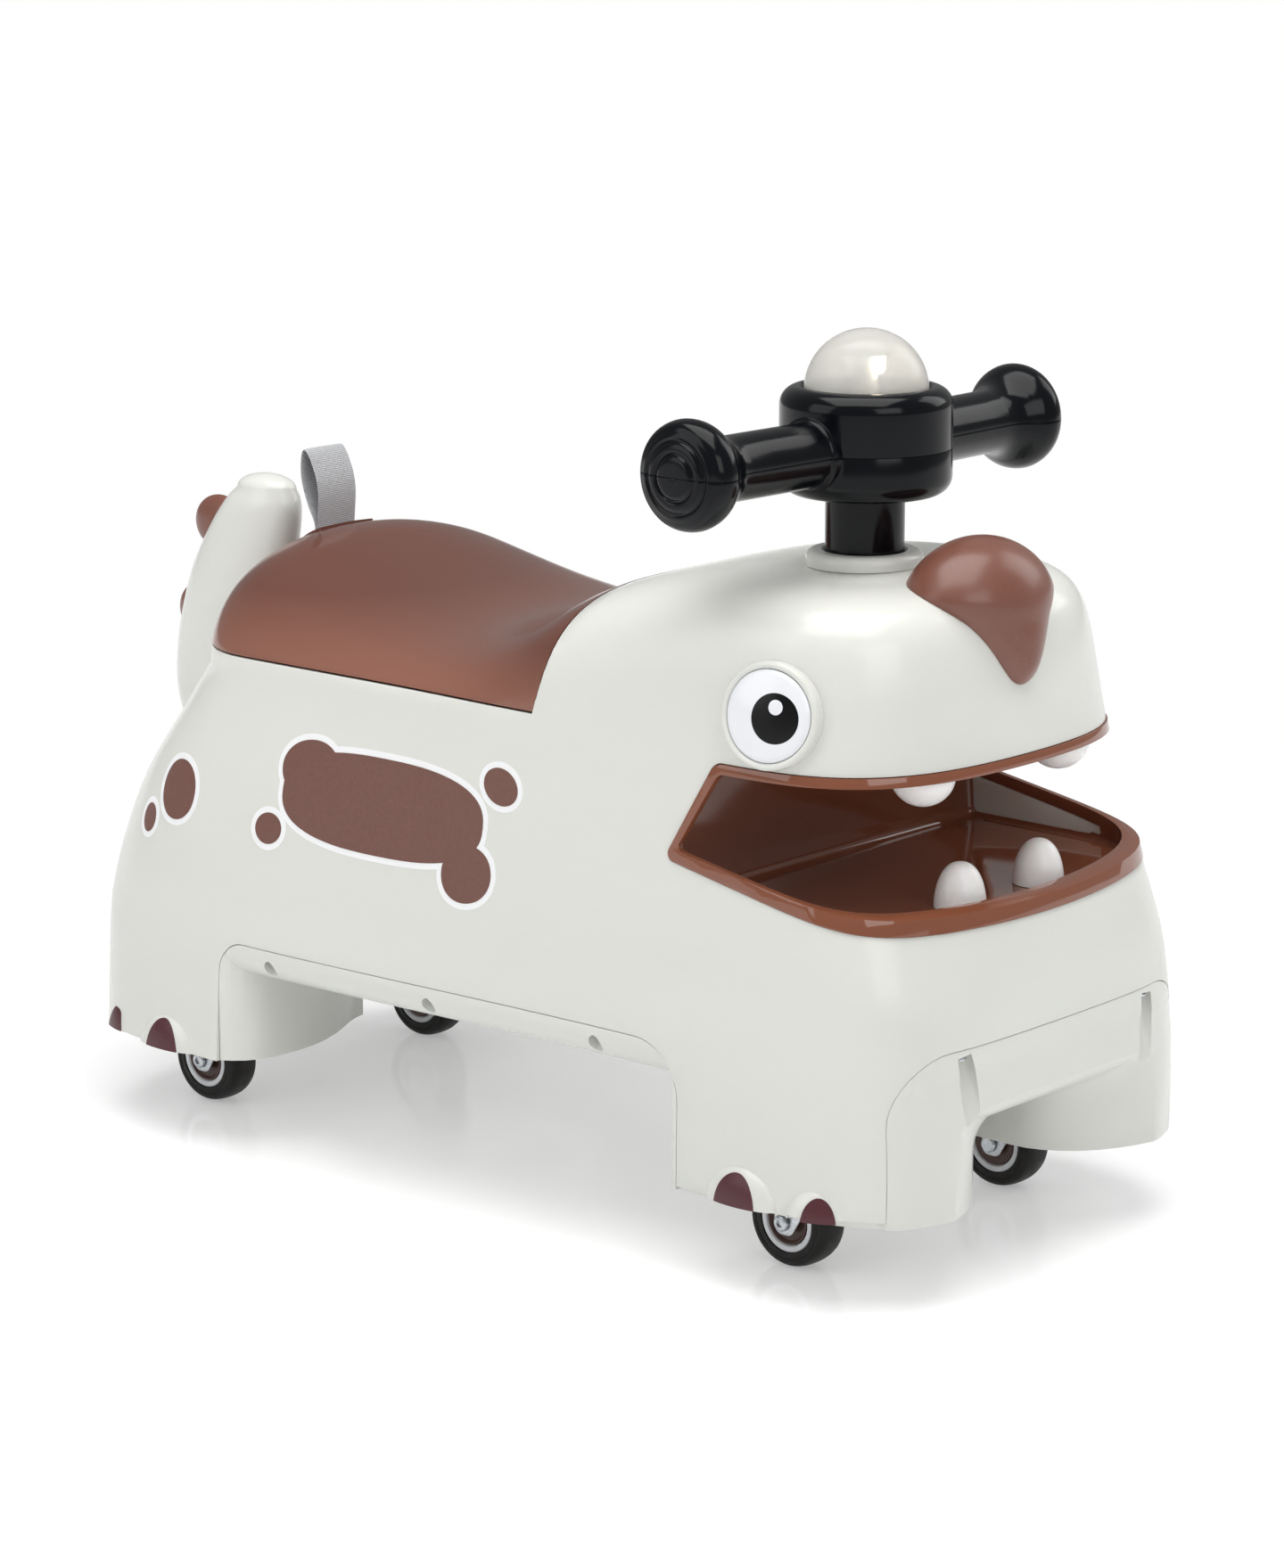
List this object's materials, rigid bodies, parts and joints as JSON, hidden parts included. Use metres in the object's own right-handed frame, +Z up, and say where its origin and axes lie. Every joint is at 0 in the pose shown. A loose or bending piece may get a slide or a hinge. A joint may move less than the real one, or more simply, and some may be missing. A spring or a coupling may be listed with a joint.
{
  "type": "kids ride-on car",
  "caption": "Ride-on toy shaped as a crouching animal with a storage seat, a turning lit handlebar and swivel casters.",
  "frame": {"origin": "middle of the bounding box on the floor under the wheels", "axes": "+Z up, -Y the way the toy faces, +X the toy's own left"},
  "size_m": [0.3224, 0.6541, 0.4701],
  "materials": {
    "white_plastic": "satin white moulding",
    "seat_brown": "glossy brown moulding",
    "grey_webbing": "woven grey webbing",
    "brown_plastic": "glossy brown moulding",
    "mouth_brown": "glossy dark brown moulding",
    "bright_white_plastic": "glossy bright white moulding",
    "black_plastic": "glossy black moulding",
    "zinc_plate": "zinc-plated pressed steel",
    "tyre_black": "matt black tread",
    "milky_dome": "milky translucent plastic",
    "circuit_green": "green laminate",
    "lamp_clear": "clear lamp body"
  },
  "bodies": {
    "toy": {"body_shell": "white_plastic", "base_shell": "white_plastic", "storage_bin": "white_plastic", "mouth_liner": "mouth_brown", "nose": "brown_plastic", "upper_tooth_left": "bright_white_plastic", "upper_tooth_right": "bright_white_plastic", "lower_tooth_left": "bright_white_plastic", "lower_tooth_right": "bright_white_plastic", "eye_ring_left": "white_plastic", "eye_ring_right": "white_plastic", "eye_disc_left": "bright_white_plastic", "eye_disc_right": "bright_white_plastic", "neck_collar": "white_plastic", "tail": "white_plastic", "tail_spike_upper": "brown_plastic", "tail_spike_lower": "brown_plastic", "caster_socket_front_left": "zinc_plate", "caster_socket_front_right": "zinc_plate", "caster_socket_rear_left": "zinc_plate", "caster_socket_rear_right": "zinc_plate"},
    "seat": {"seat_lid": "seat_brown", "strap_anchor": "seat_brown", "pull_loop": "grey_webbing"},
    "steering": {"steering_column": "black_plastic", "column_clip": "zinc_plate", "handlebar_lower": "black_plastic", "handlebar_upper": "black_plastic", "battery_tray": "bright_white_plastic", "circuit_board": "circuit_green", "lamp": "lamp_clear", "button_cell_1": "zinc_plate", "button_cell_2": "zinc_plate", "button_cell_3": "zinc_plate", "dome_spring": "zinc_plate"},
    "light": {"light_dome": "milky_dome"},
    "caster_front_left": {"caster_fork_front_left": "zinc_plate", "axle_bolt_front_left": "zinc_plate"},
    "wheel_front_left": {"wheel_hub_front_left": "brown_plastic", "wheel_ring_front_left": "bright_white_plastic", "tyre_front_left": "tyre_black"},
    "caster_front_right": {"caster_fork_front_right": "zinc_plate", "axle_bolt_front_right": "zinc_plate"},
    "wheel_front_right": {"wheel_hub_front_right": "brown_plastic", "wheel_ring_front_right": "bright_white_plastic", "tyre_front_right": "tyre_black"},
    "caster_rear_left": {"caster_fork_rear_left": "zinc_plate", "axle_bolt_rear_left": "zinc_plate"},
    "wheel_rear_left": {"wheel_hub_rear_left": "brown_plastic", "wheel_ring_rear_left": "bright_white_plastic", "tyre_rear_left": "tyre_black"},
    "caster_rear_right": {"caster_fork_rear_right": "zinc_plate", "axle_bolt_rear_right": "zinc_plate"},
    "wheel_rear_right": {"wheel_hub_rear_right": "brown_plastic", "wheel_ring_rear_right": "bright_white_plastic", "tyre_rear_right": "tyre_black"}
  },
  "joints": [
    {"name": "seat_lift_off", "type": "slide", "parent": "toy", "child": "seat", "axis": [0, 0, 1], "range_m": [0, 0.12]},
    {"name": "steering_turn", "type": "hinge", "parent": "toy", "child": "steering", "pos_m": [0, -0.1942, 0.35], "axis": [0, 0, 1], "continuous": true},
    {"name": "light_press", "type": "slide", "parent": "steering", "child": "light", "axis": [0, 0, -1], "range_m": [0, 0.003], "stiffness_N_per_m": 400, "springref_m": -0.004, "deforming": ["dome_spring"]},
    {"name": "caster_swivel_front_left", "type": "hinge", "parent": "toy", "child": "caster_front_left", "pos_m": [0.08725, -0.2369, 0.05], "axis": [0, 0, 1], "continuous": true},
    {"name": "wheel_spin_front_left", "type": "hinge", "parent": "caster_front_left", "child": "wheel_front_left", "pos_m": [0.08725, -0.2254, 0.025], "axis": [1, 0, 0], "continuous": true},
    {"name": "caster_swivel_front_right", "type": "hinge", "parent": "toy", "child": "caster_front_right", "pos_m": [-0.08725, -0.2369, 0.05], "axis": [0, 0, 1], "continuous": true},
    {"name": "wheel_spin_front_right", "type": "hinge", "parent": "caster_front_right", "child": "wheel_front_right", "pos_m": [-0.08725, -0.2254, 0.025], "axis": [1, 0, 0], "continuous": true},
    {"name": "caster_swivel_rear_left", "type": "hinge", "parent": "toy", "child": "caster_rear_left", "pos_m": [0.08725, 0.1961, 0.05], "axis": [0, 0, 1], "continuous": true},
    {"name": "wheel_spin_rear_left", "type": "hinge", "parent": "caster_rear_left", "child": "wheel_rear_left", "pos_m": [0.08725, 0.2076, 0.025], "axis": [1, 0, 0], "continuous": true},
    {"name": "caster_swivel_rear_right", "type": "hinge", "parent": "toy", "child": "caster_rear_right", "pos_m": [-0.08725, 0.1961, 0.05], "axis": [0, 0, 1], "continuous": true},
    {"name": "wheel_spin_rear_right", "type": "hinge", "parent": "caster_rear_right", "child": "wheel_rear_right", "pos_m": [-0.08725, 0.2076, 0.025], "axis": [1, 0, 0], "continuous": true}
  ]
}
